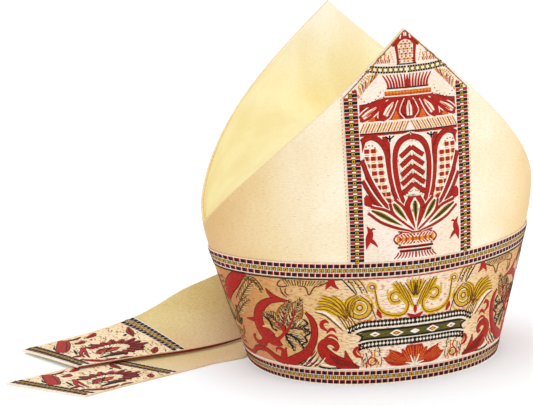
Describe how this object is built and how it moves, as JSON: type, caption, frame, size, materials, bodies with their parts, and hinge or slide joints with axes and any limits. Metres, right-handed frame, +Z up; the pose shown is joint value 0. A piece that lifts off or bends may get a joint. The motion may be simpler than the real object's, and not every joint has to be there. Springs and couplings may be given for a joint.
{
  "type": "bishop mitre",
  "caption": "Folding liturgical hat of cream cloth with two pointed shields, a lined gusset between them, brocade trim bands edged with check galloon, and two lappets.",
  "frame": {"origin": "middle of the hem, on the surface that the mitre stands on", "axes": "+Z up from the hem to the peaks, the front with the upright trim faces -Y, +X on the right of someone who looks at the front; the lappets lie towards -X"},
  "size_m": [0.441, 0.2625, 0.28],
  "materials": {
    "cream_cloth": "matt ribbed cream cloth",
    "lining_cloth": "pale yellow satin",
    "brocade": "woven red, gold and olive brocade",
    "galloon": "woven black, red and gold check"
  },
  "bodies": {
    "root": {"front_shield": "cream_cloth", "back_shield": "cream_cloth", "gusset_lining": "lining_cloth", "circulus_galloon_hem": "galloon", "circulus_brocade": "brocade", "circulus_galloon_top": "galloon", "titulus_brocade": "brocade", "titulus_galloon_left": "galloon", "titulus_galloon_right": "galloon", "near_lappet": "cream_cloth", "near_lappet_galloon_end": "galloon", "near_lappet_brocade": "brocade", "near_lappet_galloon_head": "galloon", "far_lappet": "cream_cloth", "far_lappet_galloon_end": "galloon", "far_lappet_brocade": "brocade", "far_lappet_galloon_head": "galloon"}
  },
  "joints": []
}
